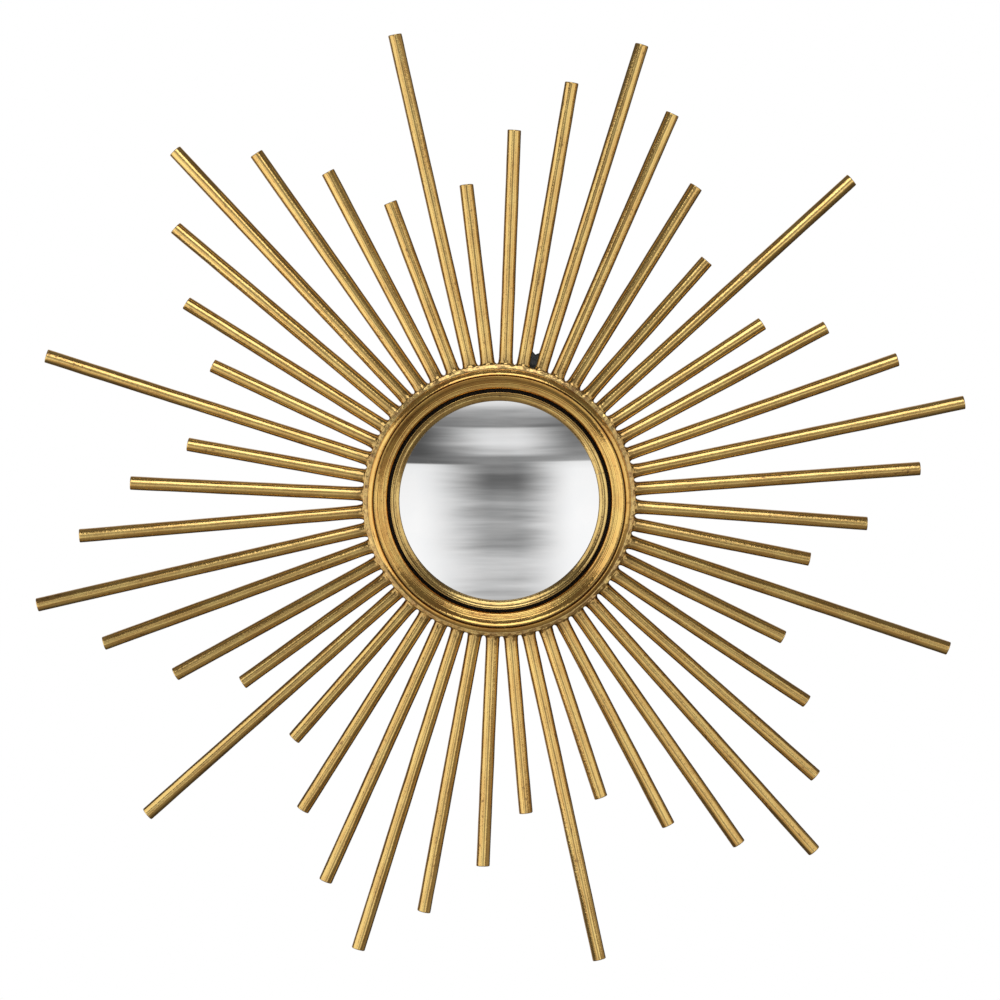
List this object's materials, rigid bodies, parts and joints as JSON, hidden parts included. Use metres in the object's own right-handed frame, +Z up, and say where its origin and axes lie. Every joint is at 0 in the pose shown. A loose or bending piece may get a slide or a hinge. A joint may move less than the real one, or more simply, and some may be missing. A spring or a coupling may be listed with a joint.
{
  "type": "sunburst wall mirror",
  "caption": "Small convex mirror in a stepped round gilt frame, ringed by straight round bars of graded lengths that stand out like sun rays, with a hanging plate on its back.",
  "frame": {"origin": "centre of the felt's rear face, where the axis of the round hub meets the wall", "axes": "+Y into the wall, so the mirror faces -Y; +Z up as it hangs; +X to the viewer's right"},
  "size_m": [0.59, 0.0225, 0.5898],
  "materials": {
    "gilt_rays": "antique gold leaf on steel bar, rubbed to a red-brown ground",
    "gilt_frame": "antique gold leaf on a turned moulding, rubbed on its rounds",
    "gilt_bezel": "antique gold leaf on bent strip, a little darker than the frame",
    "mirror_glass": "silvered convex glass",
    "cushion": "closed-cell foam",
    "black_board": "black-painted fibreboard",
    "black_steel": "matt black paint",
    "zinc_steel": "dull zinc plate",
    "felt": "dark green wool felt"
  },
  "bodies": {
    "root": {"frame_ring": "gilt_frame", "frame_bead": "gilt_frame", "bezel_ring": "gilt_bezel", "mirror_glass": "mirror_glass", "mirror_cushion": "cushion", "ray_ring": "gilt_rays", "backing_board": "black_board", "back_plate": "black_steel", "back_screws": "zinc_steel", "hanger_plate": "black_steel", "hanger_rivets": "zinc_steel", "wall_felt": "felt", "ray_01": "gilt_rays", "ray_02": "gilt_rays", "ray_03": "gilt_rays", "ray_04": "gilt_rays", "ray_05": "gilt_rays", "ray_06": "gilt_rays", "ray_07": "gilt_rays", "ray_08": "gilt_rays", "ray_09": "gilt_rays", "ray_10": "gilt_rays", "ray_11": "gilt_rays", "ray_12": "gilt_rays", "ray_13": "gilt_rays", "ray_14": "gilt_rays", "ray_15": "gilt_rays", "ray_16": "gilt_rays", "ray_17": "gilt_rays", "ray_18": "gilt_rays", "ray_19": "gilt_rays", "ray_20": "gilt_rays", "ray_21": "gilt_rays", "ray_22": "gilt_rays", "ray_23": "gilt_rays", "ray_24": "gilt_rays", "ray_25": "gilt_rays", "ray_26": "gilt_rays", "ray_27": "gilt_rays", "ray_28": "gilt_rays", "ray_29": "gilt_rays", "ray_30": "gilt_rays", "ray_31": "gilt_rays", "ray_32": "gilt_rays", "ray_33": "gilt_rays", "ray_34": "gilt_rays", "ray_35": "gilt_rays", "ray_36": "gilt_rays", "ray_37": "gilt_rays", "ray_38": "gilt_rays", "ray_39": "gilt_rays", "ray_40": "gilt_rays", "ray_41": "gilt_rays", "ray_42": "gilt_rays", "ray_43": "gilt_rays", "ray_44": "gilt_rays", "ray_45": "gilt_rays", "ray_46": "gilt_rays", "ray_47": "gilt_rays", "ray_48": "gilt_rays"}
  },
  "joints": []
}
